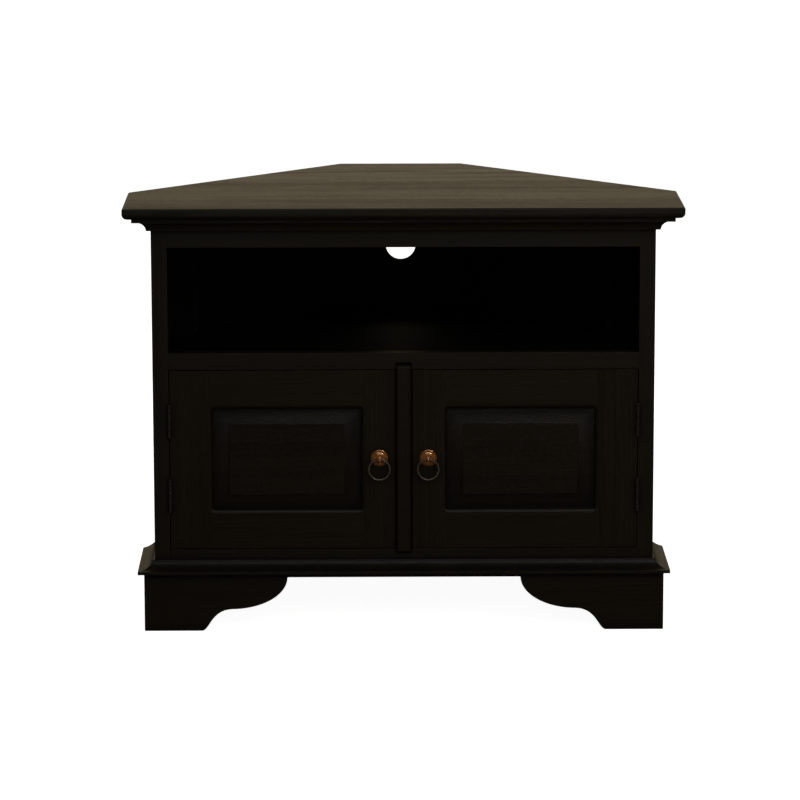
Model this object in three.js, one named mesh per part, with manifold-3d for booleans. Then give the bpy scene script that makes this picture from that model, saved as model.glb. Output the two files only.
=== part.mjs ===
// Corner cabinet for a television: five-sided top, open bay, two panelled doors, scrolled bracket feet.
// Millimetres, +Z up, front toward -Y. The origin is on the floor under the middle of the top board.

import * as THREE from 'three';
import { mergeVertices } from 'three/addons/utils/BufferGeometryUtils.js';
import Module from 'manifold-3d';

const wasm = await Module();
wasm.setup();

// Driving sizes of the whole cabinet
const top_width = 1000;
const top_depth = 595;
const top_back_width = 230;
const total_height = 777;
const joint_gap = 0.3;
const overrun = 5;

// Top board
const top_thickness = 20;
const top_corner_radius = 3;
const edge_under_radius = 10;
const edge_upper_radius = 2.5;

// Carcass
const front_overhang = 49;
const side_overhang = 48.5;
const wall_reveal = 10;
const back_reveal = 10;
const frame_thickness = 22;
const side_thickness = 20;
const angled_thickness = 10;
const back_thickness = 6;
const back_inset = 2;
const shelf_thickness = 18;

// Face frame
const stile_width = 28.5;
const top_rail_drop = 31.5;
const middle_rail_height = 30.5;
const cupboard_height = 330.5;
const bottom_rail_height = 41;

// Centre stile and its notches in the two rails
const centre_stile_width = 29;
const centre_stile_proud = 4;
const centre_stile_thickness = 16;
const centre_stile_entry = 8;
const upper_notch_depth = 14;
const lower_notch_depth = 18.5;

// Inner posts
const side_post_thickness = 23;
const side_post_width = 54.5;
const side_post_face = 8;
const back_post_width = 28;
const back_post_thickness = 13;

// Cable hole in the back panel
const cable_hole_radius = 28.5;
const cable_hole_height_share = 0.46;

// Cornice under the top
const cornice_height = 25.5;
const cornice_projection = 32.5;
const cornice_lip_height = 7.5;
const cornice_lip_step = 3.5;
const cornice_cove_width = 21;

// Plinth and its moulding
const plinth_height = 106.5;
const plinth_projection = 19;
const plinth_thickness = 22;
const plinth_moulding_height = 22.5;
const plinth_moulding_projection = 30;
const plinth_moulding_lip = 6;
const plinth_moulding_ledge = 4.5;
const apron_drop = 7.5;
const toe_width = 104.5;
const toe_run = 54;
const toe_rise = 40;
const toe_lower_shares = [0.26, 0.05];
const toe_upper_shares = [0.3, 0.95];
const wing_run = 101;
const block_width = 45;
const block_height = 94.5;

// Doors
const door_gap = 1.5;
const door_thickness = 20;
const outer_stile_width = 76;
const inner_stile_width = 60;
const door_top_rail_width = 70;
const door_bottom_rail_width = 71;
const routed_width = 7;
const routed_depth = 5;
const routed_corner_radius = 5;
const tongue_length = 8;
const tongue_thickness = 5;
const tongue_setback = 9;
const margin_width = 7.5;
const field_inset_x = 31;
const field_inset_z = 28;
const field_setback = 2.5;
const field_shoulder = 1;

// Butt hinges
const hinge_height = 60;
const hinge_spread = 137;
const hinge_lift = 3;
const leaf_width = 24;
const leaf_thickness = 1.5;
const leaf_gap = 0.3;
const barrel_radius = 3;
const barrel_clearance = 0.3;
const pin_radius = 1.5;
const pin_clearance = 0.3;
const pin_head_height = 1.5;
const pin_head_radius = 2.3;
const knuckle_count = 5;
const mortise_clearance = 0.2;

// Ring pulls
const pull_inset = 28;
const pull_height = 166;
const rose_radius = 15.5;
const rose_rim = 1.4;
const rose_height = 7.2;
const crown_radius = 5.2;
const shank_radius = 2.5;
const shank_length = 12;
const shank_clearance = 0.3;
const collar_radius = 4.6;
const collar_length = 8.6;
const waist_radius = 2.4;
const ball_radius = 3.6;
const ring_outer_radius = 20.5;
const ring_wire_radius = 1.6;
const ring_hole_radius = 3;

// Magnetic catches under the shelf
const catch_width = 40;
const catch_depth = 14;
const catch_grip = 12;
const catch_offset = 70;
const strike_thickness = 1.5;
const strike_height = 22;

// How finely curves are cut
const curve_steps = 10;
const edge_steps = 6;
const small_edge_steps = 3;
const routed_steps = 4;
const ball_steps = 8;
const round_steps = 32;
const barrel_steps = 16;
const ring_steps = 40;
const wire_steps = 10;
const merge_distance = 1e-5;

// Places that several pieces share
const root_two = Math.SQRT2;
const top_half = top_width / 2;
const top_front_y = -top_depth / 2;
const top_back_y = top_depth / 2;
const top_wall_sum = top_back_width / 2 + top_back_y;
const body_half = top_half - side_overhang;
const body_front_y = top_front_y + front_overhang;
const body_back_y = top_back_y - back_reveal;
const body_wall_sum = top_wall_sum - wall_reveal * root_two;
const inner_wall_sum = body_wall_sum - angled_thickness * root_two;
const side_inner_x = body_half - side_thickness;
const frame_back_y = body_front_y + frame_thickness;
const carcass_top_z = total_height - top_thickness;
const bay_half = body_half - stile_width;
const bay_top_z = carcass_top_z - cornice_height - top_rail_drop;
const cupboard_bottom_z = plinth_height + bottom_rail_height;
const cupboard_top_z = cupboard_bottom_z + cupboard_height;
const shelf_top_z = cupboard_top_z + middle_rail_height;
const shelf_bottom_z = shelf_top_z - shelf_thickness;

// Finishes
const dark_wood = new THREE.MeshStandardMaterial({ color: 0x1c1512, roughness: 0.5, flatShading: true });
const panel_wood = new THREE.MeshStandardMaterial({ color: 0x211a16, roughness: 0.45, flatShading: true });
const inner_wood = new THREE.MeshStandardMaterial({ color: 0x120e0c, roughness: 0.7, flatShading: true });
const pull_metal = new THREE.MeshStandardMaterial({
  color: 0xa8643c, roughness: 0.3, metalness: 1, flatShading: true,
});
const ring_metal = new THREE.MeshStandardMaterial({
  color: 0x9a8a70, roughness: 0.35, metalness: 1, flatShading: true,
});
const hinge_metal = new THREE.MeshStandardMaterial({
  color: 0x4a3c2c, roughness: 0.5, metalness: 1, flatShading: true,
});
const catch_metal = new THREE.MeshStandardMaterial({
  color: 0x55524e, roughness: 0.5, metalness: 0.8, flatShading: true,
});

const cabinet = new THREE.Group();

// Geometry with shared corner points and nothing but positions
function bare(geometry) {
  const copy = new THREE.BufferGeometry();
  copy.setAttribute('position', geometry.getAttribute('position').clone());
  if (geometry.index) {
    copy.setIndex(geometry.index.clone());
  }
  return mergeVertices(copy, merge_distance);
}

function turnInsideOut(geometry) {
  const index = geometry.index;
  for (let i = 0; i < index.count; i += 3) {
    const second = index.getX(i + 1);
    index.setX(i + 1, index.getX(i + 2));
    index.setX(i + 2, second);
  }
  return geometry;
}

// Faces turned outward, told by the sign of the enclosed volume
function outward(geometry) {
  const at = geometry.getAttribute('position');
  const index = geometry.index;
  const a = new THREE.Vector3();
  const b = new THREE.Vector3();
  const c = new THREE.Vector3();
  let volume = 0;
  for (let i = 0; i < index.count; i += 3) {
    a.fromBufferAttribute(at, index.getX(i));
    b.fromBufferAttribute(at, index.getX(i + 1));
    c.fromBufferAttribute(at, index.getX(i + 2));
    volume += a.dot(b.cross(c));
  }
  return volume < 0 ? turnInsideOut(geometry) : geometry;
}

function toManifold(geometry) {
  const joined = bare(geometry);
  return new wasm.Manifold(new wasm.Mesh({
    numProp: 3,
    vertProperties: new Float32Array(joined.getAttribute('position').array),
    triVerts: new Uint32Array(joined.index.array),
  }));
}

function fromManifold(solid) {
  const mesh = solid.getMesh();
  const geometry = new THREE.BufferGeometry();
  geometry.setAttribute('position', new THREE.BufferAttribute(new Float32Array(mesh.vertProperties), 3));
  geometry.setIndex(new THREE.BufferAttribute(new Uint32Array(mesh.triVerts), 1));
  return geometry;
}

function cut(geometry, ...tools) {
  return fromManifold(tools.reduce((solid, tool) => solid.subtract(toManifold(tool)), toManifold(geometry)));
}

function join(first, ...others) {
  return fromManifold(others.reduce((solid, other) => solid.add(toManifold(other)), toManifold(first)));
}

function mirrored(geometry) {
  return turnInsideOut(bare(geometry).scale(-1, 1, 1));
}

// Angles of a quarter turn, from 0 to a right angle
function quarter(steps) {
  return Array.from({ length: steps + 1 }, (_, i) => ((i / steps) * Math.PI) / 2);
}

function box(x0, x1, y0, y1, z0, z1) {
  const block = new THREE.BoxGeometry(x1 - x0, y1 - y0, z1 - z0);
  return bare(block.translate((x0 + x1) / 2, (y0 + y1) / 2, (z0 + z1) / 2));
}

function outlineShape(points) {
  return new THREE.Shape(points.map(([x, y]) => new THREE.Vector2(x, y)));
}

// A plan outline raised between two heights
function upright(points, z0, z1) {
  const raised = new THREE.ExtrudeGeometry(outlineShape(points), { depth: z1 - z0, bevelEnabled: false });
  return outward(bare(raised.translate(0, 0, z0)));
}

// A front outline carried back from y0 to y1
function facing(shape, y0, y1) {
  const slab = new THREE.ExtrudeGeometry(shape, {
    depth: y1 - y0, bevelEnabled: false, curveSegments: curve_steps,
  });
  return outward(bare(slab.rotateX(Math.PI / 2).translate(0, y1, 0)));
}

// A closed solid through loops that all have the same number of points
function loft(loops) {
  const count = loops[0].length;
  const positions = loops.flat().flatMap((point) => [point.x, point.y, point.z]);
  const triangles = [];
  for (let ring = 0; ring + 1 < loops.length; ring += 1) {
    for (let i = 0; i < count; i += 1) {
      const near = ring * count + i;
      const next = ring * count + ((i + 1) % count);
      triangles.push(near, next, next + count);
      triangles.push(near, next + count, near + count);
    }
  }
  const last = (loops.length - 1) * count;
  const flatPoints = (loop) => {
    const spread = new THREE.Box3().setFromPoints(loop).getSize(new THREE.Vector3());
    const level = spread.z <= spread.y;
    return loop.map((point) => new THREE.Vector2(point.x, level ? point.y : point.z));
  };
  for (const [a, b, c] of THREE.ShapeUtils.triangulateShape(flatPoints(loops[0]), [])) {
    triangles.push(a, c, b);
  }
  for (const [a, b, c] of THREE.ShapeUtils.triangulateShape(flatPoints(loops[loops.length - 1]), [])) {
    triangles.push(last + a, last + b, last + c);
  }
  const geometry = new THREE.BufferGeometry();
  geometry.setAttribute('position', new THREE.Float32BufferAttribute(positions, 3));
  geometry.setIndex(triangles);
  return outward(bare(geometry));
}

// A moulding: its section carried from start (0) to end (1) by a rule that gives each point's place
function moulding(section, place) {
  const strip = new THREE.ExtrudeGeometry(section, {
    depth: 1, bevelEnabled: false, curveSegments: curve_steps,
  });
  const at = strip.getAttribute('position');
  for (let i = 0; i < at.count; i += 1) {
    at.setXYZ(i, ...place(at.getX(i), at.getY(i), at.getZ(i)));
  }
  return outward(bare(strip));
}

function add(name, geometry, material) {
  const mesh = new THREE.Mesh(geometry, material);
  mesh.name = name;
  cabinet.add(mesh);
}

// The same piece on both sides: drawn on the right and mirrored to the left
function addPair(name, geometry, material) {
  add(`${name}_right`, geometry, material);
  add(`${name}_left`, mirrored(geometry), material);
}

// Top board: its front and side edges are rounded, its wall edges are square
function topOutline(inset, z) {
  const x = top_half - inset;
  const y = top_front_y + inset;
  const radius = top_corner_radius;
  const points = [];
  const corners = [[-x + radius, Math.PI], [x - radius, 1.5 * Math.PI]];
  for (const [centre, start] of corners) {
    for (const turn of quarter(small_edge_steps)) {
      points.push([centre + radius * Math.cos(start + turn), y + radius + radius * Math.sin(start + turn)]);
    }
  }
  points.push([x, top_wall_sum - x]);
  points.push([top_wall_sum - top_back_y, top_back_y]);
  points.push([top_back_y - top_wall_sum, top_back_y]);
  points.push([-x, top_wall_sum - x]);
  return points.map(([px, py]) => new THREE.Vector3(px, py, z));
}

function topBoard() {
  const levels = [];
  for (const turn of quarter(edge_steps)) {
    levels.push([edge_under_radius * (1 - Math.sin(turn)), edge_under_radius * (1 - Math.cos(turn))]);
  }
  for (const turn of quarter(small_edge_steps)) {
    const rise = top_thickness - edge_upper_radius * (1 - Math.sin(turn));
    levels.push([edge_upper_radius * (1 - Math.cos(turn)), rise]);
  }
  return loft(levels.map(([inset, rise]) => topOutline(inset, carcass_top_z + rise)));
}

add('top_board', topBoard(), dark_wood);

// Cornice: a lip over a hollow, mitred at the front corners and cut flush with the walls
function corniceSection() {
  const section = new THREE.Shape();
  const lip = cornice_projection - cornice_lip_step;
  section.moveTo(0, 0);
  section.lineTo(lip - cornice_cove_width, 0);
  section.absellipse(
    lip, 0, cornice_cove_width, cornice_height - cornice_lip_height, Math.PI, Math.PI / 2, true,
  );
  section.lineTo(cornice_projection, cornice_height - cornice_lip_height);
  section.lineTo(cornice_projection, cornice_height);
  section.lineTo(0, cornice_height);
  section.closePath();
  return section;
}

// Plinth moulding: a ledge, a hollow that runs out to a lip, under the carcass and on the plinth boards
function plinthSection() {
  const section = new THREE.Shape();
  const rise = plinth_moulding_height - plinth_moulding_lip;
  section.moveTo(0, 0);
  section.lineTo(plinth_moulding_projection, 0);
  section.lineTo(plinth_moulding_projection, plinth_moulding_lip);
  section.absellipse(
    plinth_moulding_projection, plinth_moulding_height,
    plinth_moulding_projection - plinth_moulding_ledge, rise,
    1.5 * Math.PI, Math.PI, true,
  );
  section.lineTo(0, plinth_moulding_height);
  section.closePath();
  return section;
}

function addMoulding(name, section, base_z) {
  const front = moulding(section, (out, rise, along) => [
    (2 * along - 1) * (body_half + out), body_front_y - out, base_z + rise,
  ]);
  const side = moulding(section, (out, rise, along) => {
    const start = body_front_y - out + joint_gap;
    const end = body_wall_sum - body_half - out;
    return [body_half + out, start + along * (end - start), base_z + rise];
  });
  add(`${name}_front`, front, dark_wood);
  addPair(name, side, dark_wood);
}

addMoulding('cornice', corniceSection(), carcass_top_z - cornice_height);
addMoulding('plinth_moulding', plinthSection(), plinth_height);

// Face frame: two stiles from plinth to top, three rails between them
function hingeHeights() {
  const middle = (cupboard_bottom_z + cupboard_top_z) / 2 + hinge_lift;
  return [middle - hinge_spread / 2, middle + hinge_spread / 2];
}

function mortise(x0, x1, z) {
  const reach = body_front_y + leaf_width + mortise_clearance;
  const half = hinge_height / 2 + mortise_clearance;
  return box(x0, x1, body_front_y - overrun, reach, z - half, z + half);
}

const leaf_entry = leaf_thickness + leaf_gap / 2 - door_gap / 2;

function faceStile() {
  const stile = box(bay_half, body_half, body_front_y, frame_back_y, plinth_height, carcass_top_z);
  return cut(stile, ...hingeHeights().map((z) => mortise(bay_half - overrun, bay_half + leaf_entry, z)));
}

// Centre stile's front and back faces: it stands a little proud of the frame
const centre_front_y = body_front_y - centre_stile_proud;
const centre_back_y = centre_front_y + centre_stile_thickness;

// A rail with a blind notch in one edge for the end of the centre stile
function notchedRail(z0, z1, notch_from, notch_to) {
  const rail = box(-bay_half, bay_half, body_front_y, frame_back_y, z0, z1);
  const half = centre_stile_width / 2;
  const notch = box(-half, half, body_front_y - overrun, centre_back_y + joint_gap, notch_from, notch_to);
  return cut(rail, notch);
}

addPair('front_stile', faceStile(), dark_wood);
add('top_rail', box(-bay_half, bay_half, body_front_y, frame_back_y, bay_top_z, carcass_top_z), dark_wood);
add('middle_rail', notchedRail(
  cupboard_top_z, shelf_top_z, cupboard_top_z - overrun, cupboard_top_z + upper_notch_depth,
), dark_wood);
add('bottom_rail', notchedRail(
  plinth_height, cupboard_bottom_z, cupboard_bottom_z - lower_notch_depth, cupboard_bottom_z + overrun,
), dark_wood);

// Centre stile: its ends a short way into the two notches
add('centre_stile', box(
  -centre_stile_width / 2, centre_stile_width / 2,
  centre_front_y, centre_back_y,
  cupboard_bottom_z - centre_stile_entry, cupboard_top_z + centre_stile_entry,
), dark_wood);

// Side and angled panels, both from plinth to top
const inner_line_gap = joint_gap * root_two;

addPair('side_panel', upright([
  [side_inner_x, frame_back_y],
  [body_half, frame_back_y],
  [body_half, inner_wall_sum - inner_line_gap - body_half],
  [side_inner_x, inner_wall_sum - inner_line_gap - side_inner_x],
], plinth_height, carcass_top_z), dark_wood);

addPair('angled_panel', upright([
  [body_half, inner_wall_sum - body_half],
  [body_half, body_wall_sum - body_half],
  [body_wall_sum - body_back_y, body_back_y],
  [inner_wall_sum - body_back_y, body_back_y],
], plinth_height, carcass_top_z), inner_wood);

// Inner posts. Grow widens the outline, for the notch that a shelf has around the post.
function sidePostOutline(grow) {
  const rear = inner_wall_sum - inner_line_gap + grow * root_two;
  const front = inner_wall_sum - (side_post_thickness + grow) * root_two;
  const outer = side_inner_x + grow;
  const tip_x = side_inner_x - side_post_width;
  const face_y = inner_wall_sum - side_post_thickness * root_two - tip_x - side_post_face;
  const slant = face_y - tip_x + grow * root_two;
  return [
    [outer, front - outer],
    [outer, rear - outer],
    [(rear - slant) / 2, (rear + slant) / 2],
    [face_y - grow - slant, face_y - grow],
    [front - face_y + grow, face_y - grow],
  ];
}

function backPostOutline(grow) {
  const rear = inner_wall_sum - inner_line_gap + grow * root_two;
  const face_y = body_back_y - back_post_thickness - grow;
  const outer = inner_wall_sum - inner_line_gap - (body_back_y - back_post_thickness);
  return [
    [outer - back_post_width - grow, face_y],
    [rear - face_y, face_y],
    [rear - body_back_y - grow, body_back_y + grow],
    [outer - back_post_width - grow, body_back_y + grow],
  ];
}

addPair('side_post', upright(sidePostOutline(0), plinth_height, carcass_top_z), inner_wood);
addPair('back_post', upright(backPostOutline(0), plinth_height, carcass_top_z), inner_wood);

// Back panel between the back posts, with the cable hole in the bay
function backPanel() {
  const half = inner_wall_sum - inner_line_gap - (body_back_y - back_post_thickness) - back_post_width;
  const back = body_back_y - back_inset;
  const shape = outlineShape([
    [-half, plinth_height], [half, plinth_height], [half, carcass_top_z], [-half, carcass_top_z],
  ]);
  const hole = new THREE.Path();
  const hole_z = shelf_top_z + (carcass_top_z - shelf_top_z) * cable_hole_height_share;
  hole.absarc(0, hole_z, cable_hole_radius, 0, 2 * Math.PI, true);
  shape.holes.push(hole);
  return facing(shape, back - back_thickness, back);
}

add('back_panel', backPanel(), inner_wood);

// Shelf and bottom board: they fill the plan inside the panels and are notched around the posts
function insideBoard(z0, z1) {
  const rear = inner_wall_sum - inner_line_gap;
  const back = body_back_y - back_inset - back_thickness;
  const half = [
    [side_inner_x, frame_back_y],
    [side_inner_x, rear - side_inner_x],
    [rear - back, back],
  ];
  const left = half.map(([x, y]) => [-x, y]).reverse();
  const board = upright([...half, ...left], z0, z1);
  const posts = [sidePostOutline(joint_gap), backPostOutline(joint_gap)];
  const tools = posts.map((points) => upright(points, z0 - overrun, z1 + overrun));
  return cut(board, ...tools, ...tools.map(mirrored));
}

add('middle_shelf', insideBoard(shelf_bottom_z, shelf_top_z), inner_wood);
add('bottom_board', insideBoard(cupboard_bottom_z - shelf_thickness, cupboard_bottom_z), inner_wood);

// Plinth: a scrolled front board, and plain boards along the sides, the walls and the back
const plinth_half = body_half + plinth_projection;
const plinth_front_y = body_front_y - plinth_projection;
const plinth_inner_y = plinth_front_y + plinth_thickness;
const plinth_inner_x = plinth_half - plinth_thickness;

function scrolledShape() {
  const shape = new THREE.Shape();
  const toe = plinth_half - toe_width;
  const knee = toe - toe_run;
  const apron_z = plinth_height - apron_drop;
  const wing_rise = apron_z - toe_rise;
  const [low_x, low_z] = [toe - toe_run * toe_lower_shares[0], toe_rise * toe_lower_shares[1]];
  const [high_x, high_z] = [toe - toe_run * toe_upper_shares[0], toe_rise * toe_upper_shares[1]];
  shape.moveTo(-plinth_half, 0);
  shape.lineTo(-toe, 0);
  shape.bezierCurveTo(-low_x, low_z, -high_x, high_z, -knee, toe_rise);
  shape.absellipse(-knee, apron_z, wing_run, wing_rise, 1.5 * Math.PI, 2 * Math.PI, false);
  shape.absellipse(knee, apron_z, wing_run, wing_rise, Math.PI, 1.5 * Math.PI, false);
  shape.bezierCurveTo(high_x, high_z, low_x, low_z, toe, 0);
  shape.lineTo(plinth_half, 0);
  shape.lineTo(plinth_half, plinth_height);
  shape.lineTo(-plinth_half, plinth_height);
  shape.closePath();
  return shape;
}

// The front board's ends are mitred to the side boards
function plinthFront() {
  const board = facing(scrolledShape(), plinth_front_y, plinth_inner_y);
  const mitre = upright([
    [plinth_half, plinth_front_y],
    [plinth_half + overrun, plinth_front_y],
    [plinth_half + overrun, plinth_inner_y + overrun],
    [plinth_inner_x - overrun, plinth_inner_y + overrun],
  ], -overrun, plinth_height + overrun);
  return cut(board, mitre, mirrored(mitre));
}

const angled_inner_sum = body_wall_sum - plinth_thickness * root_two;
const back_board_y = body_back_y - plinth_thickness;

// Board along a wall, between a side board and the back board
function angledBoard() {
  const start = plinth_inner_x - joint_gap;
  const end_y = back_board_y - joint_gap;
  return upright([
    [start, angled_inner_sum - start],
    [start, body_wall_sum - start],
    [body_wall_sum - end_y, end_y],
    [angled_inner_sum - end_y, end_y],
  ], 0, plinth_height);
}

add('plinth_front', plinthFront(), dark_wood);
addPair('plinth_side', upright([
  [plinth_inner_x, plinth_inner_y + joint_gap],
  [plinth_half, plinth_front_y + joint_gap],
  [plinth_half, body_wall_sum - plinth_half],
  [plinth_inner_x, body_wall_sum - plinth_inner_x],
], 0, plinth_height), dark_wood);
addPair('plinth_angled', angledBoard(), inner_wood);
add('plinth_back', upright([
  [-(body_wall_sum - back_board_y), back_board_y],
  [body_wall_sum - back_board_y, back_board_y],
  [body_wall_sum - body_back_y, body_back_y],
  [-(body_wall_sum - body_back_y), body_back_y],
], 0, plinth_height), inner_wood);
addPair('corner_block', box(
  plinth_inner_x - block_width, plinth_inner_x,
  plinth_inner_y, plinth_inner_y + block_width,
  plinth_height - block_height, plinth_height,
), inner_wood);

// Magnetic catches under the shelf, just behind the tops of the doors
const door_back_y = body_front_y + door_thickness;
const door_top_z = cupboard_top_z - door_gap;
const door_bottom_z = cupboard_bottom_z + door_gap;

addPair('catch', box(
  catch_offset - catch_width / 2, catch_offset + catch_width / 2,
  frame_back_y, frame_back_y + catch_depth,
  door_top_z - catch_grip, shelf_bottom_z,
), catch_metal);

// Doors: stiles run full height, rails between them, and a raised panel held in grooves
const door_inner_x = centre_stile_width / 2 + door_gap;
const door_outer_x = bay_half - door_gap;
const sight_left = door_inner_x + inner_stile_width;
const sight_right = door_outer_x - outer_stile_width;
const sight_bottom = door_bottom_z + door_bottom_rail_width;
const sight_top = door_top_z - door_top_rail_width;

// The opening's outline, widened and heightened, at a depth behind the door's face
function sightLoop(wider, radius, depth, higher = wider) {
  const half_x = (sight_right - sight_left) / 2 + wider;
  const half_z = (sight_top - sight_bottom) / 2 + higher;
  const centres = [[1, 1], [-1, 1], [-1, -1], [1, -1]];
  const points = [];
  centres.forEach(([sign_x, sign_z], corner) => {
    for (const bend of radius > 0 ? quarter(routed_steps) : [0]) {
      const turn = (corner * Math.PI) / 2 + bend;
      points.push(new THREE.Vector3(
        (sight_left + sight_right) / 2 + sign_x * (half_x - radius) + radius * Math.cos(turn),
        body_front_y + depth,
        (sight_bottom + sight_top) / 2 + sign_z * (half_z - radius) + radius * Math.sin(turn),
      ));
    }
  });
  return points;
}

// Cutter for the rounded edge that runs around the opening
function routedCutter() {
  const loops = [];
  for (const turn of quarter(routed_steps)) {
    const wider = routed_width * (1 - Math.cos(turn));
    loops.push(sightLoop(wider, routed_corner_radius + wider, routed_depth * (1 - Math.sin(turn))));
  }
  loops.push(sightLoop(routed_width, routed_corner_radius + routed_width, -overrun));
  return loft(loops);
}

function grooveCutter() {
  const wider = tongue_length + joint_gap;
  const front = tongue_setback - joint_gap;
  const back = tongue_setback + tongue_thickness + joint_gap;
  return loft([sightLoop(wider, 0, back), sightLoop(wider, 0, front)]);
}

function raisedPanel() {
  return loft([
    sightLoop(tongue_length, 0, tongue_setback + tongue_thickness),
    sightLoop(tongue_length, 0, tongue_setback),
    sightLoop(-margin_width, 0, tongue_setback),
    sightLoop(-field_inset_x, 0, field_setback + field_shoulder, -field_inset_z),
    sightLoop(-field_inset_x, 0, field_setback, -field_inset_z),
  ]);
}

function doorMember(x0, x1, z0, z1, ...more) {
  const wood = box(x0, x1, body_front_y, door_back_y, z0, z1);
  return cut(wood, routedCutter(), grooveCutter(), ...more);
}

// Round pieces of the pull are turned about an axis that points out of the door
const pull_x = door_inner_x + pull_inset;
const pull_z = door_bottom_z + pull_height;

function turned(profile) {
  const lathe = new THREE.LatheGeometry(profile.map(([r, y]) => new THREE.Vector2(r, y)), round_steps);
  return outward(bare(lathe.rotateX(Math.PI).translate(pull_x, body_front_y, pull_z)));
}

function shankHole() {
  const radius = shank_radius + shank_clearance;
  const deep = shank_length + shank_clearance;
  return turned([[0, -deep], [radius, -deep], [radius, overrun], [0, overrun]]);
}

addPair('door_outer_stile', doorMember(
  sight_right, door_outer_x, door_bottom_z, door_top_z,
  ...hingeHeights().map((z) => mortise(door_outer_x - leaf_entry, door_outer_x + overrun, z)),
), dark_wood);
addPair('door_inner_stile', doorMember(
  door_inner_x, sight_left, door_bottom_z, door_top_z, shankHole(),
), dark_wood);
addPair('door_top_rail', doorMember(sight_left, sight_right, sight_top, door_top_z), dark_wood);
addPair('door_bottom_rail', doorMember(sight_left, sight_right, door_bottom_z, sight_bottom), dark_wood);
addPair('door_panel', raisedPanel(), panel_wood);
addPair('strike', box(
  catch_offset - catch_width / 2, catch_offset + catch_width / 2,
  door_back_y, door_back_y + strike_thickness,
  door_top_z - strike_height, door_top_z,
), catch_metal);

// Ring pull: a domed rose, a post with a ball end screwed through it, and a ring in the post's hole
const ring_hole_out = rose_height + collar_length / 2;
const ring_radius = ring_outer_radius - ring_wire_radius;

function rose() {
  const profile = [[shank_radius + shank_clearance, 0], [rose_radius, 0], [rose_radius, rose_rim]];
  const run = rose_radius - crown_radius;
  const rise = rose_height - rose_rim;
  for (const turn of quarter(edge_steps).slice(1)) {
    profile.push([crown_radius + run * Math.cos(turn), rose_rim + rise * Math.sin(turn)]);
  }
  profile.push([shank_radius + shank_clearance, rose_height]);
  profile.push([shank_radius + shank_clearance, 0]);
  return turned(profile);
}

function post() {
  const collar_end = rose_height + collar_length;
  const ball_centre = collar_end + Math.sqrt(ball_radius ** 2 - waist_radius ** 2);
  const profile = [
    [0, -shank_length], [shank_radius, -shank_length], [shank_radius, rose_height],
    [collar_radius, rose_height], [collar_radius, collar_end - (collar_radius - waist_radius) / 2],
  ];
  const open = Math.asin(waist_radius / ball_radius);
  for (let i = 0; i <= ball_steps; i += 1) {
    const turn = open + (i / ball_steps) * (Math.PI - open);
    const radius = i < ball_steps ? ball_radius * Math.sin(turn) : 0;
    profile.push([radius, ball_centre - ball_radius * Math.cos(turn)]);
  }
  const hole = new THREE.CylinderGeometry(
    ring_hole_radius, ring_hole_radius, 2 * collar_radius + 2 * overrun, round_steps,
  );
  hole.rotateZ(Math.PI / 2).translate(pull_x, body_front_y - ring_hole_out, pull_z);
  return cut(turned(profile), hole);
}

function ring() {
  const torus = new THREE.TorusGeometry(ring_radius, ring_wire_radius, wire_steps, ring_steps);
  torus.rotateX(Math.PI / 2);
  return bare(torus.translate(pull_x, body_front_y - ring_hole_out, pull_z - ring_radius));
}

addPair('rose', rose(), pull_metal);
addPair('ring_post', post(), pull_metal);
addPair('pull_ring', ring(), ring_metal);

// Butt hinges: the axis is in front of the gap between door and frame
const hinge_axis_x = bay_half - door_gap / 2;
const hinge_axis_y = body_front_y - barrel_radius - barrel_clearance;
const knuckle_height = hinge_height / knuckle_count;

function upTube(radius, bore, z0, z1) {
  const profile = [[bore, z0], [radius, z0], [radius, z1], [bore, z1], [bore, z0]];
  const tube = new THREE.LatheGeometry(profile.map(([r, y]) => new THREE.Vector2(r, y)), barrel_steps);
  return outward(bare(tube.rotateX(Math.PI / 2).translate(hinge_axis_x, hinge_axis_y, 0)));
}

// One leaf: side is 1 for the frame's leaf and -1 for the door's. Its knuckles are every second one.
// The frame leaf's knuckles hold the pin fast, so their bore is a little under the pin's size.
function leaf(z, side, first) {
  const bottom = z - hinge_height / 2;
  const inner = hinge_axis_x + (side * leaf_gap) / 2;
  const outer = inner + side * leaf_thickness;
  const x0 = Math.min(inner, outer);
  const x1 = Math.max(inner, outer);
  const parts = [];
  for (let i = first; i < knuckle_count; i += 2) {
    const z0 = bottom + i * knuckle_height + (i > 0 ? leaf_gap / 2 : 0);
    const z1 = bottom + (i + 1) * knuckle_height - (i < knuckle_count - 1 ? leaf_gap / 2 : 0);
    const bore = side > 0 ? pin_radius - joint_gap : pin_radius + pin_clearance;
    parts.push(upTube(barrel_radius, bore, z0, z1));
    const neck = hinge_axis_y + pin_radius + pin_clearance;
    parts.push(box(x0, x1, neck, body_front_y + overrun, z0, z1));
  }
  const plate = box(x0, x1, body_front_y, body_front_y + leaf_width, bottom, bottom + hinge_height);
  return join(plate, ...parts);
}

// The pin is fixed in the frame leaf's knuckles, with a head at each end
function fixedPin(z) {
  const bottom = z - hinge_height / 2;
  const top = bottom + hinge_height;
  const profile = [
    [0, bottom - pin_head_height], [pin_head_radius, bottom - pin_head_height],
    [pin_head_radius, bottom], [pin_radius, bottom], [pin_radius, top], [pin_head_radius, top],
    [pin_head_radius, top + pin_head_height], [0, top + pin_head_height],
  ];
  const pin = new THREE.LatheGeometry(profile.map(([r, y]) => new THREE.Vector2(r, y)), barrel_steps);
  return outward(bare(pin.rotateX(Math.PI / 2).translate(hinge_axis_x, hinge_axis_y, 0)));
}

hingeHeights().forEach((z, level) => {
  const place = ['lower', 'upper'][level];
  addPair(`${place}_hinge_frame`, join(leaf(z, 1, 0), fixedPin(z)), hinge_metal);
  addPair(`${place}_hinge_door`, leaf(z, -1, 1), hinge_metal);
});

export default cabinet;
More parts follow.
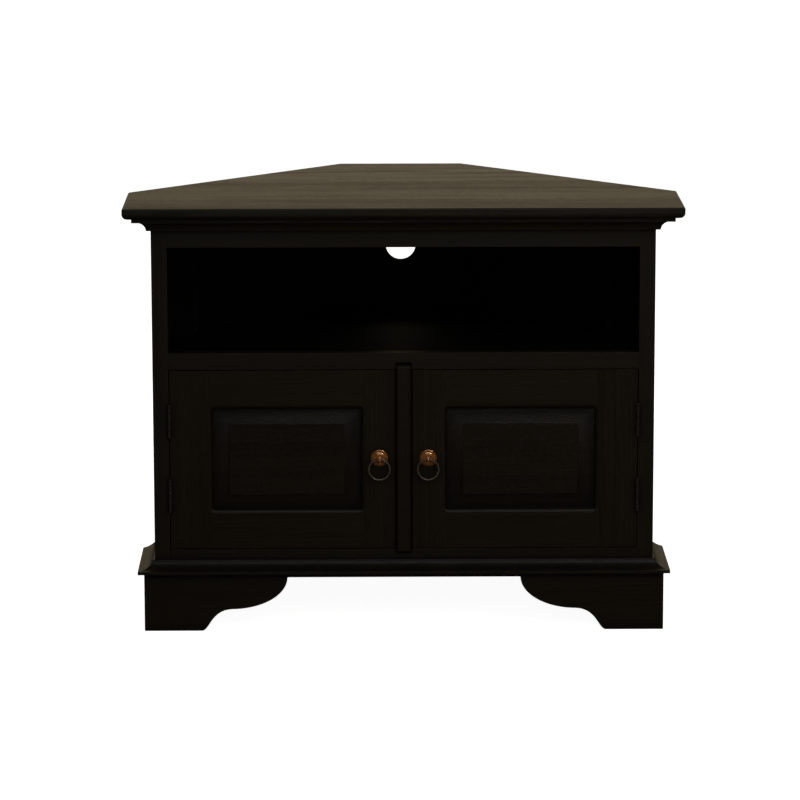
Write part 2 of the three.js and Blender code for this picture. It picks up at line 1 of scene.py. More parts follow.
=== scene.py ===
# Corner television cabinet in near-black stained hardwood: a five-sided carcass with an open bay,
# two framed and panelled doors with ring pulls, and a moulded plinth on scrolled bracket feet.
# Metres, +Z up, front toward -Y. The pieces come in the order in which the cabinet is put together.
from math import atan2, cos, pi, radians, sin, sqrt

import bpy
import numpy as np
from mathutils import Matrix, Vector


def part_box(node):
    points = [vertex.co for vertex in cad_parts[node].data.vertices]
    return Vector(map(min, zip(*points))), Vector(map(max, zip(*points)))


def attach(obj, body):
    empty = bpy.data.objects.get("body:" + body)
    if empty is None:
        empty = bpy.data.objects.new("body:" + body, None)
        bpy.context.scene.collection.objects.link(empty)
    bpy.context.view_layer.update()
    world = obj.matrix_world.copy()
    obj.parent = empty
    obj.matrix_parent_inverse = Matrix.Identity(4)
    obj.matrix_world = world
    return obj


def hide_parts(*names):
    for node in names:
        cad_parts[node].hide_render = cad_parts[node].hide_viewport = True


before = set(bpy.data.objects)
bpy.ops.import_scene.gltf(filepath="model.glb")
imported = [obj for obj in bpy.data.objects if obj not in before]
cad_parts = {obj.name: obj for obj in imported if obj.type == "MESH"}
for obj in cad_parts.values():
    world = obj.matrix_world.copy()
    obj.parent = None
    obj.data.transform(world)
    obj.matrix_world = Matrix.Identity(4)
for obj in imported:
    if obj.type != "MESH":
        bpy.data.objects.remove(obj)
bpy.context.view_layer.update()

# Viewpoint: a long lens some seven metres off and a little above the top, so that the cabinet's
# uprights stay upright. It stands slightly left of the middle and looks slightly right.
view_place = Vector((-0.0719, -7.3749, 1.8164))
view_pitch = radians(11.071)
view_turn = radians(0.525)
view_roll = radians(-0.096)
ahead = Vector((
    sin(view_turn) * cos(view_pitch), cos(view_turn) * cos(view_pitch), -sin(view_pitch),
))
level = Vector((cos(view_turn), -sin(view_turn), 0))
upward = level.cross(ahead)
right = cos(view_roll) * level + sin(view_roll) * upward
above = right.cross(ahead)

bpy.ops.object.camera_add()
camera = bpy.context.object
camera.name = "view_camera"
camera.data.lens = 181.52
camera.data.sensor_width = 36
camera.data.clip_end = 100
camera.matrix_world = Matrix((
    (right.x, above.x, -ahead.x, view_place.x),
    (right.y, above.y, -ahead.y, view_place.y),
    (right.z, above.z, -ahead.z, view_place.z),
    (0, 0, 0, 1),
))
bpy.context.scene.camera = camera
bpy.context.scene.view_settings.view_transform = "Standard"


# Studio: a plain pale floor that looks white, and soft light. Broad lights that nothing mirrors
# stand overhead, in front and behind both corners. The panels are what lacquer and metal mirror: a
# wide one behind for the top, dim ones in front, above and at the sides, and a small bright one.
def new_material(name):
    """A material, its nodes and its surface shader."""
    material = bpy.data.materials.new(name)
    material.use_nodes = True
    return material, material.node_tree, material.node_tree.nodes["Principled BSDF"]


bpy.ops.mesh.primitive_plane_add(size=60, location=(0, 0, 0))
floor = bpy.context.object
floor.name = "studio_floor"
floor.visible_glossy = False
floor.visible_diffuse = False
paper, _, sheet = new_material("floor paper")
sheet.inputs["Base Color"].default_value = (0.85, 0.85, 0.85, 1)
sheet.inputs["Roughness"].default_value = 1
sheet.inputs["Specular IOR Level"].default_value = 0
sheet.inputs["Emission Color"].default_value = (1, 1, 1, 1)
sheet.inputs["Emission Strength"].default_value = 0.95
floor.data.materials.append(paper)


def soft_sun(name, towards, strength, spread):
    """Broad light from one side that the lacquer doesn't mirror."""
    bpy.ops.object.light_add(type="SUN", location=(0, 0, 4))
    sun = bpy.context.object
    sun.name = name
    sun.rotation_euler = Vector(towards).to_track_quat("-Z", "Y").to_euler()
    sun.data.energy = strength
    sun.data.angle = radians(spread)
    sun.visible_glossy = False


def soft_panel(name, place, towards, width, height, glow, tint, mirrored=True):
    """A panel of light that faces a point. Glow is how bright its face is."""
    bpy.ops.object.light_add(type="AREA", location=place)
    panel = bpy.context.object
    panel.name = name
    panel.rotation_euler = (Vector(towards) - Vector(place)).to_track_quat("-Z", "Y").to_euler()
    panel.data.shape = "RECTANGLE"
    panel.data.size = width
    panel.data.size_y = height
    panel.data.energy = glow * pi * width * height
    panel.data.color = tint
    panel.visible_camera = False
    panel.visible_glossy = mirrored


hands = {"left": -1, "right": 1}
middle = (0, 0, 0.4)
warm = (1, 0.97, 0.92)
soft_sun("overhead_light", (0, 0, -1), 0.3, 60)
soft_panel("front_light", (0.3, -1.7, 0.8), (0, 0, 0.42), 2.2, 0.6, 1, warm, mirrored=False)
soft_panel("rear_panel", (0, 5, 1.9), (0, 0, 0.9), 9, 1.8, 0.62, (1, 0.82, 0.52))
soft_panel("front_panel", (0.4, -6, 2.2), middle, 3.2, 1.4, 0.3, (0.92, 0.92, 0.84))
for hand, way in hands.items():
    soft_panel(
        f"back_{hand}_light", (way * 2.6, 2.2, 1.1), (0, 0.2, 0.4), 2, 1.2, 4, warm, mirrored=False,
    )
for hand, way in hands.items():
    soft_panel(f"{hand}_panel", (way * 5, -1.5, 1.4), middle, 3, 2, 0.04, (1, 0.97, 0.93))
soft_panel("top_panel", (0, -2.8, 2.7), (0, -0.2, 0.4), 2.4, 0.8, 1.1, (0.84, 0.92, 1))
soft_panel("key_panel", (1.2, -2.5, 2), (0, -0.25, 0.4), 0.36, 0.36, 9, (1, 0.95, 0.88))

# Past the floor the camera sees white. The cabinet gets only a trace of that light.
world = bpy.data.worlds.new("studio air")
bpy.context.scene.world = world
world.use_nodes = True
air = world.node_tree
backing = air.nodes["Background"]
backing.inputs["Color"].default_value = (1, 1, 1, 1)
path = air.nodes.new("ShaderNodeLightPath")
shade = air.nodes.new("ShaderNodeMapRange")
shade.inputs["To Min"].default_value = 0.01
shade.inputs["To Max"].default_value = 1
air.links.new(path.outputs["Is Camera Ray"], shade.inputs["Value"])
air.links.new(shade.outputs["Result"], backing.inputs["Strength"])


# Short side panels, square to the front: solid hardwood with upright grain, stained and lacquered.
# Each meets the angled panel on a 45 degree line. The stain and lacquer are defined here, and all
# the wood has them.
def wire(tree, kind, settings, inputs):
    """Adds a node. An input is given as a value, or as the socket that feeds it."""
    made = tree.nodes.new("ShaderNode" + kind)
    for name, value in settings.items():
        setattr(made, name, value)
    for name, value in inputs.items():
        if isinstance(value, bpy.types.NodeSocket):
            tree.links.new(value, made.inputs[name])
        else:
            made.inputs[name].default_value = value
    return made


def reckon(tree, operation, *values):
    """Works out one number from others, as one node."""
    return wire(tree, "Math", {"operation": operation}, dict(enumerate(values))).outputs[0]


def stretched(tree, place, factors):
    """A place in the plank, stretched by a factor each way."""
    return wire(tree, "VectorMath", {"operation": "MULTIPLY"}, {0: place, 1: factors}).outputs[0]


def mixed(tree, share, colour, other):
    """One colour mixed into another by a share."""
    return wire(tree, "Mix", {"data_type": "RGBA"}, {0: share, 6: colour, 7: other}).outputs[2]


def noise(tree, place, scale, detail, roughness=0.5):
    """Cloudy noise over a place."""
    return wire(tree, "TexNoise", {}, {
        "Vector": place, "Scale": scale, "Detail": detail, "Roughness": roughness,
    }).outputs["Fac"]


def how_far(tree, value, start, end):
    """How far a value has come from a start to an end, from 0 to 1."""
    return wire(tree, "MapRange", {}, {
        "Value": value, "From Min": start, "From Max": end,
    }).outputs["Result"]


def emboss(tree, coat, height, strength, depth=0.0001):
    """Gives a surface its relief."""
    skin = wire(tree, "Bump", {}, {"Strength": strength, "Distance": depth, "Height": height})
    tree.links.new(skin.outputs["Normal"], coat.inputs["Normal"])


def new_group(name, inputs, outputs):
    """An empty node group with named sockets."""
    group = bpy.data.node_groups.new(name, "ShaderNodeTree")
    for title, kind, value in inputs:
        socket = group.interface.new_socket(title, in_out="INPUT", socket_type="NodeSocket" + kind)
        if value is not None:
            socket.default_value = value
    for title, kind in outputs:
        group.interface.new_socket(title, in_out="OUTPUT", socket_type="NodeSocket" + kind)
    given = group.nodes.new("NodeGroupInput").outputs
    result = group.nodes.new("NodeGroupOutput").inputs
    return group, given, result


# Place in the plank: x runs along the grain, y across the face, z into the wood
figure, given, result = new_group(
    "hardwood figure",
    [
        ("Plank Place", "Vector", None), ("Plank Width", "Float", 1),
        ("Ring Spacing", "Float", 0.006),
    ],
    [("Figure", "Float"), ("Pores", "Float"), ("Relief", "Float")],
)

# Each plank of a glued-up board comes from its own part of the tree
spot = wire(figure, "SeparateXYZ", {}, {0: given["Plank Place"]})
plank = reckon(figure, "FLOOR", reckon(figure, "DIVIDE", spot.outputs["Y"], given["Plank Width"]))
luck = wire(figure, "TexWhiteNoise", {"noise_dimensions": "1D"}, {"W": plank})
own = wire(figure, "VectorMath", {"operation": "MULTIPLY_ADD"}, {
    0: luck.outputs["Color"], 1: (4, 0.3, 0.05), 2: given["Plank Place"],
}).outputs[0]

# Growth rings go by the distance from the tree's heart, which wanders a little
drift = noise(figure, stretched(figure, own, (1.3, 9, 9)), 1, 2)
heart = wire(figure, "SeparateXYZ", {}, {0: own})
across = reckon(figure, "ADD", heart.outputs["Y"], reckon(figure, "MULTIPLY", drift, 0.06))
inward = reckon(figure, "ADD", heart.outputs["Z"], 0.05)
radius = reckon(figure, "SQRT", reckon(
    figure, "ADD",
    reckon(figure, "MULTIPLY", across, across), reckon(figure, "MULTIPLY", inward, inward),
))
swell = reckon(figure, "ADD", radius, reckon(figure, "MULTIPLY", heart.outputs["X"], 0.02))
rings = reckon(figure, "SINE", reckon(
    figure, "DIVIDE", reckon(figure, "MULTIPLY", swell, 2 * pi), given["Ring Spacing"],
))

# Fibres, broad streaks and open pores are all long and thin
fibres = noise(figure, stretched(figure, own, (7, 260, 260)), 1, 4, 0.6)
streaks = noise(figure, stretched(figure, own, (1.6, 60, 60)), 1, 2)
vessels = noise(figure, stretched(figure, own, (75, 1300, 1300)), 1, 1)
pores = how_far(figure, vessels, 0.58, 0.7)
tone = reckon(figure, "ADD", reckon(figure, "MULTIPLY", rings, 0.09), reckon(
    figure, "ADD", reckon(figure, "MULTIPLY", fibres, 0.5), reckon(
        figure, "ADD", reckon(figure, "MULTIPLY", streaks, 0.45),
        reckon(figure, "MULTIPLY", luck.outputs["Value"], 0.12),
    ),
))
relief = reckon(figure, "SUBTRACT", reckon(figure, "MULTIPLY", fibres, 0.5), pores)
figure.links.new(tone, result["Figure"])
figure.links.new(pores, result["Pores"])
figure.links.new(relief, result["Relief"])

# Arrises are rubbed through in patches where the surface turns sharply
wear, given, result = new_group(
    "rubbed edges",
    [("Plank Place", "Vector", None), ("Reach", "Float", 0.0015)], [("Rubbed", "Float")],
)
rounded = wire(wear, "Bevel", {"samples": 6}, {"Radius": given["Reach"]})
surface = wear.nodes.new("ShaderNodeNewGeometry")
turn = wire(wear, "VectorMath", {"operation": "DOT_PRODUCT"}, {
    0: rounded.outputs["Normal"], 1: surface.outputs["Normal"],
}).outputs["Value"]
edge = how_far(wear, turn, 0.995, 0.9)
patches = noise(wear, stretched(wear, given["Plank Place"], (28, 90, 90)), 1, 4)
broken = how_far(wear, patches, 0.46, 0.72)
wear.links.new(reckon(wear, "MULTIPLY", edge, broken), result["Rubbed"])


def stained(
    name, low, high, dullness=0.42, plank_width=1.0, spacing=0.006, streak=0.12,
    rubbed=(0.07, 0.045, 0.022), reach=0.024, shade_steepness=3, least=0.3, gloss=0.5,
):
    """Stained and lacquered wood, between its darkest and lightest colour. Its colour is painted
    darker where other surfaces crowd close, as painted shade: reach is how far out, the steepness
    how fast it deepens, and least is the share of colour it leaves."""
    wood, tree, coat = new_material(name)
    place = wire(tree, "Attribute", {"attribute_name": "plank_place"}, {}).outputs["Vector"]
    grain = wire(tree, "Group", {"node_tree": figure}, {
        "Plank Place": place, "Plank Width": plank_width, "Ring Spacing": spacing,
    }).outputs
    rub = wire(tree, "Group", {"node_tree": wear}, {"Plank Place": place}).outputs["Rubbed"]
    ramp = wire(tree, "ValToRGB", {}, {"Fac": grain["Figure"]})
    ramp.color_ramp.elements[0].position = 0.3
    ramp.color_ramp.elements[0].color = (*low, 1)
    ramp.color_ramp.elements[1].position = 0.8
    ramp.color_ramp.elements[1].color = (*high, 1)
    pore_colour = (*[value * 0.4 for value in low], 1)
    filled = mixed(
        tree, reckon(tree, "MULTIPLY", grain["Pores"], 0.7), ramp.outputs["Color"], pore_colour,
    )
    bared = mixed(tree, rub, filled, (*rubbed, 1))
    # Painted shade: ambient occlusion darkens the colour where the surface is hemmed in
    open_air = wire(tree, "AmbientOcclusion", {"samples": 6}, {"Distance": reach}).outputs["AO"]
    unshaded_share = reckon(tree, "MAXIMUM", reckon(tree, "POWER", open_air, shade_steepness), least)
    shaded_colour = wire(tree, "VectorMath", {"operation": "SCALE"}, {0: bared, "Scale": unshaded_share}).outputs[0]
    tree.links.new(shaded_colour, coat.inputs["Base Color"])
    coat.inputs["Specular IOR Level"].default_value = gloss
    uneven = reckon(tree, "MULTIPLY", grain["Figure"], streak)
    satin = reckon(tree, "ADD", dullness - streak / 2, uneven)
    dull_pores = reckon(tree, "MULTIPLY", grain["Pores"], 0.15)
    tree.links.new(reckon(tree, "ADD", satin, dull_pores), coat.inputs["Roughness"])
    emboss(tree, coat, grain["Relief"], 0.35, 0.00025)
    return wood


dark_wood = stained("dark wood", (0.0125, 0.0088, 0.0036), (0.025, 0.0175, 0.0076))


def hold(piece):
    """Takes one piece in hand: it alone is selected and active."""
    bpy.ops.object.select_all(action="DESELECT")
    piece.select_set(True)
    bpy.context.view_layer.objects.active = piece


def shape(piece):
    """Opens a piece's mesh with all of it selected."""
    hold(piece)
    bpy.ops.object.mode_set(mode="EDIT")
    bpy.ops.mesh.select_all(action="SELECT")


def close():
    """Closes the mesh that is being shaped."""
    bpy.ops.object.mode_set(mode="OBJECT")


def settle(piece):
    """Puts the object's own place, turn and scale into its mesh."""
    hold(piece)
    bpy.ops.object.transform_apply(location=True, rotation=True, scale=True)


def board(name, low, high):
    """A plain board between two corners."""
    bpy.ops.object.select_all(action="DESELECT")
    bpy.ops.mesh.primitive_cube_add(size=1, location=(Vector(low) + Vector(high)) / 2)
    piece = bpy.context.object
    piece.name = name
    piece.scale = Vector(high) - Vector(low)
    settle(piece)
    return piece


def saw(piece, point, away):
    """Saws off what lies beyond a plane and closes the cut."""
    shape(piece)
    bpy.ops.mesh.bisect(plane_co=point, plane_no=away, use_fill=True, clear_outer=True)
    close()


def work(piece, kind, **settings):
    """Puts a piece through one modifier."""
    hold(piece)
    modifier = piece.modifiers.new("work", kind)
    for name, value in settings.items():
        setattr(modifier, name, value)
    bpy.ops.object.modifier_apply(modifier=modifier.name)


def ease(piece, arris, steps=2):
    """Rounds every arris a little, as sandpaper does."""
    sharp = radians(25)
    work(piece, "BEVEL", width=arris, segments=steps, limit_method="ANGLE", angle_limit=sharp)


# The ways in which grain, boards and drills run
sideways = (1, 0, 0)
backward = (0, 1, 0)
forward = (0, -1, 0)
up = (0, 0, 1)
planks = 0


def lay_grain(piece, along, face):
    """Stores each point's place in the plank, for grain along one way on a face. Each piece is
    set apart from the one before, so that no two have the same figure."""
    global planks
    planks += 1
    x_way = Vector(along).normalized()
    z_way = -Vector(face).normalized()
    ways = np.array([x_way, z_way.cross(x_way), z_way])
    points = np.empty(len(piece.data.vertices) * 3)
    piece.data.vertices.foreach_get("co", points)
    points = points.reshape(-1, 3)
    centre = (points.min(0) + points.max(0)) / 2
    apart = np.array([planks * 0.73, planks * 1.37 % 0.11, planks * 0.29 % 0.05])
    places = piece.data.attributes.new("plank_place", "FLOAT_VECTOR", "POINT")
    places.data.foreach_set("vector", ((points - centre) @ ways.T + apart).ravel())


def fit(piece, body, finish, material, *nodes):
    """Gives a piece its finish and fixes it to the body that it moves with."""
    piece.data.materials.clear()
    piece.data.materials.append(material)
    hold(piece)
    bpy.ops.object.shade_smooth_by_angle(angle=radians(50))
    work(piece, "WEIGHTED_NORMAL", keep_sharp=True)
    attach(piece, body)
    if nodes:
        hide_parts(*nodes)


def fit_wood(piece, arris, along, face, wood, node, finish="dark_wood", body="cabinet"):
    """Eases a wooden piece, lays its grain and fits it."""
    ease(piece, arris)
    lay_grain(piece, along, face)
    fit(piece, body, finish, wood, node)


for hand, way in hands.items():
    low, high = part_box(f"side_panel_{hand}")
    panel = board(f"side_board_{hand}", low, high)
    saw(panel, (low.x if way > 0 else high.x, high.y, 0), (way, 1, 0))
    fit_wood(panel, 0.0008, up, (way, 0, 0), dark_wood, f"side_panel_{hand}")

# Angled panels along the room's walls: thin boards from side panel to back, stained thinly because
# the walls hide them. Their ends are sawn square to the front, so each corner closes.
angled_thickness = 0.010
# Darker than the outer wood, partly as painted shade, and its painted shade reaches far and leaves
# almost nothing, so the bay reads near black
inner_wood = stained(
    "inner wood", (0.008, 0.006, 0.004), (0.016, 0.012, 0.008), dullness=0.6, plank_width=0.16,
    rubbed=(0.045, 0.03, 0.018), reach=0.4, shade_steepness=2.5, least=0.06, gloss=0.25,
)
for hand, way in hands.items():
    low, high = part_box(f"angled_panel_{hand}")
    outer_x = high.x if way > 0 else low.x
    panel = board(f"angled_board_{hand}", low, high)
    saw(panel, (outer_x, low.y + angled_thickness * sqrt(2), 0), (way, 1, 0))
    saw(panel, (outer_x, low.y, 0), (-way, -1, 0))
    fit_wood(panel, 0.0005, up, (way, 1, 0), inner_wood, f"angled_panel_{hand}", "inner_wood")


# Inner posts: hardwood battens glued up the insides of the panels. The side post's nose is cut to
# face the front, and the back post closes the corner beside the back panel.
def draw(name, points, closed):
    """Draws a line through points and takes it in hand."""
    drawing = bpy.data.curves.new(name, "CURVE")
    drawing.dimensions = "2D" if closed else "3D"
    line = drawing.splines.new("POLY")
    line.points.add(len(points) - 1)
    for corner, (x, y) in zip(line.points, points):
        corner.co = (x, y, 0, 1)
    line.use_cyclic_u = closed
    sheet = bpy.data.objects.new(name, drawing)
    bpy.context.collection.objects.link(sheet)
    hold(sheet)
    return drawing


def cut_out(name, outline, thickness):
    """A board sawn to an outline, flat in its own plane, with its thickness to both sides."""
    drawing = draw(name, outline, closed=True)
    drawing.fill_mode = "BOTH"
    drawing.extrude = thickness / 2
    bpy.ops.object.convert(target="MESH")
    piece = bpy.context.object
    shape(piece)
    bpy.ops.mesh.remove_doubles(threshold=1e-6)
    bpy.ops.mesh.dissolve_limited(angle_limit=radians(0.3))
    bpy.ops.mesh.select_all(action="SELECT")
    bpy.ops.mesh.normals_make_consistent(inside=False)
    close()
    return piece


def stand(piece, across, rise, place):
    """Turns a cut-out board so that its outline runs across and up these ways, at a place."""
    x_way = Vector(across)
    y_way = Vector(rise)
    turned_so = Matrix((x_way, y_way, x_way.cross(y_way))).transposed().to_4x4()
    piece.matrix_world = Matrix.Translation(place) @ turned_so
    settle(piece)


# A line is x + y on a face at 45 degrees: the angled panels' inside, then the battens' two faces
clearance = 0.0003
panel_inner_line = 0.38422
wall_line = panel_inner_line - clearance * sqrt(2)
batten_thickness = 0.023
batten_line = panel_inner_line - batten_thickness * sqrt(2)
nose_cut = 0.008
for hand, way in hands.items():
    low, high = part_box(f"side_post_{hand}")
    outer = max(abs(low.x), abs(high.x))
    nose = min(abs(low.x), abs(high.x))
    nose_y = batten_line - nose - nose_cut
    heel = (wall_line - nose_y + nose) / 2
    outline = [
        (outer, batten_line - outer), (outer, wall_line - outer), (heel, wall_line - heel),
        (nose, nose_y), (batten_line - nose_y, nose_y),
    ]
    post = cut_out(f"side_batten_{hand}", [(way * x, y) for x, y in outline], high.z - low.z)
    stand(post, sideways, backward, (0, 0, (low.z + high.z) / 2))
    fit_wood(post, 0.001, up, (-way, -1, 0), inner_wood, f"side_post_{hand}", "inner_wood")

    low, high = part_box(f"back_post_{hand}")
    post = board(f"back_batten_{hand}", low, high)
    saw(post, (high.x if way > 0 else low.x, low.y, 0), (way, 1, 0))
    fit_wood(post, 0.001, up, forward, inner_wood, f"back_post_{hand}", "inner_wood")


# Back panel: a thin board of the same wood, glued between the back posts. A hole for cables is
# bored through it high in the bay, and its edge is sanded.
def carve(piece, tool):
    """Cuts one shape out of another and takes the cutter away."""
    work(piece, "BOOLEAN", object=tool, solver="EXACT")
    bpy.data.objects.remove(tool, do_unlink=True)


def rod(name, place, axis, radius, length, sides=48):
    """A round bar, centred at a place, along an axis."""
    bpy.ops.object.select_all(action="DESELECT")
    bpy.ops.mesh.primitive_cylinder_add(
        vertices=sides, radius=radius, depth=length, location=place,
        rotation=Vector((0, 0, 1)).rotation_difference(Vector(axis)).to_euler(),
    )
    piece = bpy.context.object
    piece.name = name
    settle(piece)
    return piece


cable_hole_radius = 0.0285
cable_hole_z = 0.62281
low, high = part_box("back_panel")
back = board("back_board", low, high)
carve(back, rod("cable_bit", (0, low.y, cable_hole_z), backward, cable_hole_radius, 0.05, 72))
fit_wood(back, 0.0008, up, forward, inner_wood, "back_panel", "inner_wood")

# Floor of the bay and floor of the cupboard: glued-up boards that fill the plan inside the panels
# and are notched around the posts.
side_inner_x = 0.4315
frame_back_y = -0.2265
post_low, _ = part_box("back_post_right")
for node, title in (("middle_shelf", "bay_floor"), ("bottom_board", "cupboard_floor")):
    low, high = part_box(node)
    grow = clearance * sqrt(2)
    front = batten_line - grow
    notch_y = nose_y - clearance
    slant = nose_y - nose + grow
    post_y = post_low.y - clearance
    post_x = post_low.x - clearance
    half = [
        (side_inner_x, frame_back_y),
        (side_inner_x, front - side_inner_x),
        (front - notch_y, notch_y),
        (notch_y - slant, notch_y),
        ((wall_line - slant) / 2, (wall_line + slant) / 2),
        (wall_line - post_y, post_y),
        (post_x, post_y),
        (post_x, high.y),
    ]
    shelf = cut_out(title, half + [(-x, y) for x, y in reversed(half)], high.z - low.z)
    stand(shelf, sideways, backward, (0, 0, (low.z + high.z) / 2))
    fit_wood(shelf, 0.0008, sideways, up, inner_wood, node, "inner_wood")

# Face frame: two stiles from plinth to top with three rails between them, all flush. The stiles'
# inner edges are let in for the hinges, and the two lower rails are notched for the centre stile.
low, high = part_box("top_rail")
rail = board("bay_head_rail", low, high)
fit_wood(rail, 0.0004, sideways, forward, dark_wood, "top_rail")

# Cutters reach past the wood by spare. The hinge beds are as deep as a leaf is let in.
spare = 0.01
mortise_depth = 0.0009
mortise_reach = 0.0242
mortise_height = 0.0604
hinge_heights = (0.24725, 0.38425)
for hand, way in hands.items():
    low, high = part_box(f"front_stile_{hand}")
    stile = board(f"frame_stile_{hand}", low, high)
    ease(stile, 0.0005)
    inner_x = way * min(abs(low.x), abs(high.x))
    for z in hinge_heights:
        near = (inner_x - spare, low.y - spare, z - mortise_height / 2)
        far = (inner_x + spare, low.y + mortise_reach, z + mortise_height / 2)
        chisel = board("hinge_bed", near, far)
        saw(chisel, (inner_x + way * mortise_depth, 0, 0), (way, 0, 0))
        carve(stile, chisel)
    lay_grain(stile, up, forward)
    fit(stile, "cabinet", "dark_wood", dark_wood, f"front_stile_{hand}")

centre_half = 0.0145
notch_back = -0.2362
middle_notch = 0.0125
bottom_notch = 0.0086
for node, title in (("middle_rail", "bay_floor_rail"), ("bottom_rail", "cupboard_floor_rail")):
    low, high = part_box(node)
    rail = board(title, low, high)
    if node == "middle_rail":
        notch_low, notch_high = low.z - spare, low.z + middle_notch
    else:
        notch_low, notch_high = high.z - bottom_notch, high.z + spare
    near = (-centre_half, low.y - spare, notch_low)
    carve(rail, board("rail_notch", near, (centre_half, notch_back, notch_high)))
    fit_wood(rail, 0.0004, sideways, forward, dark_wood, node)

# Centre stile: the cover strip that both doors close beside, a little proud of the frame, its front
# arrises chamfered and its ends housed in the two notches.
same_place = 1e-5  # closer than this counts as touching


def pick(piece, kind, wanted):
    """Opens a mesh with only those edges or faces selected whose corners all pass a test."""
    shape(piece)
    bpy.ops.mesh.select_mode(type=kind)
    bpy.ops.mesh.select_all(action="DESELECT")
    close()
    points = piece.data.vertices
    parts = piece.data.edges if kind == "EDGE" else piece.data.polygons
    for part in parts:
        part.select = wanted(*[points[i].co for i in part.vertices])
    bpy.ops.object.mode_set(mode="EDIT")


def round_over(piece, wanted, width, steps, clamp=False):
    """Rounds those edges whose ends pass a test. One step makes a chamfer."""
    pick(piece, "EDGE", wanted)
    bpy.ops.mesh.bevel(offset=width, segments=steps, affect="EDGES", clamp_overlap=clamp)
    close()


low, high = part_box("centre_stile")
strip = board("cover_strip", low, high)
round_over(strip, lambda a, b: max(a.y, b.y) < low.y + same_place, 0.0038, 1)
# Steep painted shade darkens the strip's chamfers, which lie close beside the doors
strip_wood = stained("strip wood", (0.0125, 0.0082, 0.003), (0.025, 0.0165, 0.0064), shade_steepness=8)
fit_wood(strip, 0.0007, up, forward, strip_wood, "centre_stile")

# Cornice and plinth moulding: hardwood run through a cutter, mitred at the front corners and glued
# on. The cornice is a lip over a hollow; the plinth moulding is a hollow that runs out to a lip.
body_half = 0.4515
body_front_y = -0.2485
outer_wall_line = panel_inner_line + angled_thickness * sqrt(2)
mitre_gap = 0.0003
front_blank = 1.2  # lengths before they are sawn to fit
return_blank = 0.6


def arc(x, y, across, up, start, end, steps=20):
    """Points along part of an ellipse round a centre, between two angles in degrees."""
    turns = np.radians(np.linspace(start, end, steps + 1))
    return [(x + across * cos(turn), y + up * sin(turn)) for turn in turns]


# Sections: distance out from the body, and height above the moulding's lower edge
cornice_base_z = 0.7315
cornice_section = [
    (0, 0), (0.0065, 0), *arc(0.0065, 0.0015, 0.0015, 0.0015, 270, 360, 4)[1:],
    *arc(0.029, 0, 0.021, 0.018, 176, 90), (0.0325, 0.018), (0.0325, 0.0255), (0, 0.0255),
]
plinth_top_z = 0.1065
plinth_section = [
    (0, 0), (0.030, 0), (0.030, 0.006), *arc(0.030, 0.0225, 0.0255, 0.0165, 270, 186)[1:],
    *arc(0.0025, 0.0205, 0.002, 0.002, 0, 90, 5), (0, 0.0225),
]


def add_moulding(name, section, base_z, wood):
    """Runs a moulding along the front and back along both sides."""
    front = cut_out(f"{name}_front_length", section, front_blank)
    stand(front, forward, up, (0, body_front_y, base_z))
    saw(front, (body_half, body_front_y, 0), (1, 1, 0))
    saw(front, (-body_half, body_front_y, 0), (-1, 1, 0))
    fit_wood(front, 0.0006, sideways, forward, wood, f"{name}_front")
    for hand, way in hands.items():
        side = cut_out(f"{name}_return_{hand}", section, return_blank)
        stand(side, (way, 0, 0), up, (way * body_half, body_front_y, base_z))
        saw(side, (way * body_half, body_front_y + mitre_gap, 0), (-way, -1, 0))
        saw(side, (way * outer_wall_line, 0, 0), (way, 1, 0))
        fit_wood(side, 0.0006, backward, (way, 0, 0), wood, f"{name}_{hand}")


# Painted lighter than the dark wood, with only faint painted shade, so its lip and hollow read
# lighter
cornice_wood = stained("cornice wood", (0.015, 0.011, 0.005), (0.03, 0.022, 0.0104), shade_steepness=1.4)
add_moulding("cornice", cornice_section, cornice_base_z, cornice_wood)

# Top board: planks glued edge to edge with the grain from left to right. The front and side edges
# have a thumb round below and a small round above; the wall edges are left square.
top_half = 0.5
top_front_y = -0.2975
top_back_y = 0.2975
top_wall_line = 0.4125
low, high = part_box("top_board")
top_wood = stained(
    "top wood", (0.0125, 0.0093, 0.0043), (0.028, 0.0205, 0.01),
    dullness=0.4, plank_width=0.119, spacing=0.008, streak=0.45,
)
half = [
    (top_half, top_front_y), (top_half, top_wall_line - top_half),
    (top_wall_line - top_back_y, top_back_y),
]
top = cut_out("top_planks", half + [(-x, y) for x, y in reversed(half)], high.z - low.z)
stand(top, sideways, backward, (0, 0, (low.z + high.z) / 2))


def along_rim(a, b, z):
    """Whether an edge at this height runs along the front or a side."""
    level = abs(a.z - z) < same_place and abs(b.z - z) < same_place
    front_run = max(a.y, b.y) < top_front_y + same_place
    side_run = min(abs(a.x), abs(b.x)) > top_half - same_place and a.x * b.x > 0
    return level and (front_run or side_run)


def up_front_corner(a, b):
    """Whether an edge runs up a front corner of the top."""
    off = max(abs(abs(point.x) + point.y - top_half - top_front_y) for point in (a, b))
    return off < same_place and a.x * b.x > 0


round_over(top, lambda a, b: along_rim(a, b, low.z), 0.010, 10)
round_over(top, lambda a, b: along_rim(a, b, high.z), 0.0025, 4)
round_over(top, up_front_corner, 0.002, 3, clamp=True)
lay_grain(top, sideways, up)
fit(top, "cabinet", "dark_wood", top_wood, "top_board")

# Plinth: a front board sawn to scrolled bracket feet, mitred to the side boards, with plain boards
# along the walls and the back, and square glue blocks behind the front corners.
plinth_half = 0.4705
plinth_thickness = 0.022
foot_inner_x = 0.366
knee_x = 0.312
knee_z = 0.040
apron_z = 0.099
wing_run = 0.101


def bezier(a, b, c, d, steps=16):
    """Points along a curve with two handles."""
    points = []
    for t in np.linspace(0, 1, steps + 1):
        weights = ((1 - t) ** 3, 3 * t * (1 - t) ** 2, 3 * t * t * (1 - t), t ** 3)
        points.append(tuple(sum(w * p[i] for w, p in zip(weights, (a, b, c, d))) for i in (0, 1)))
    return points


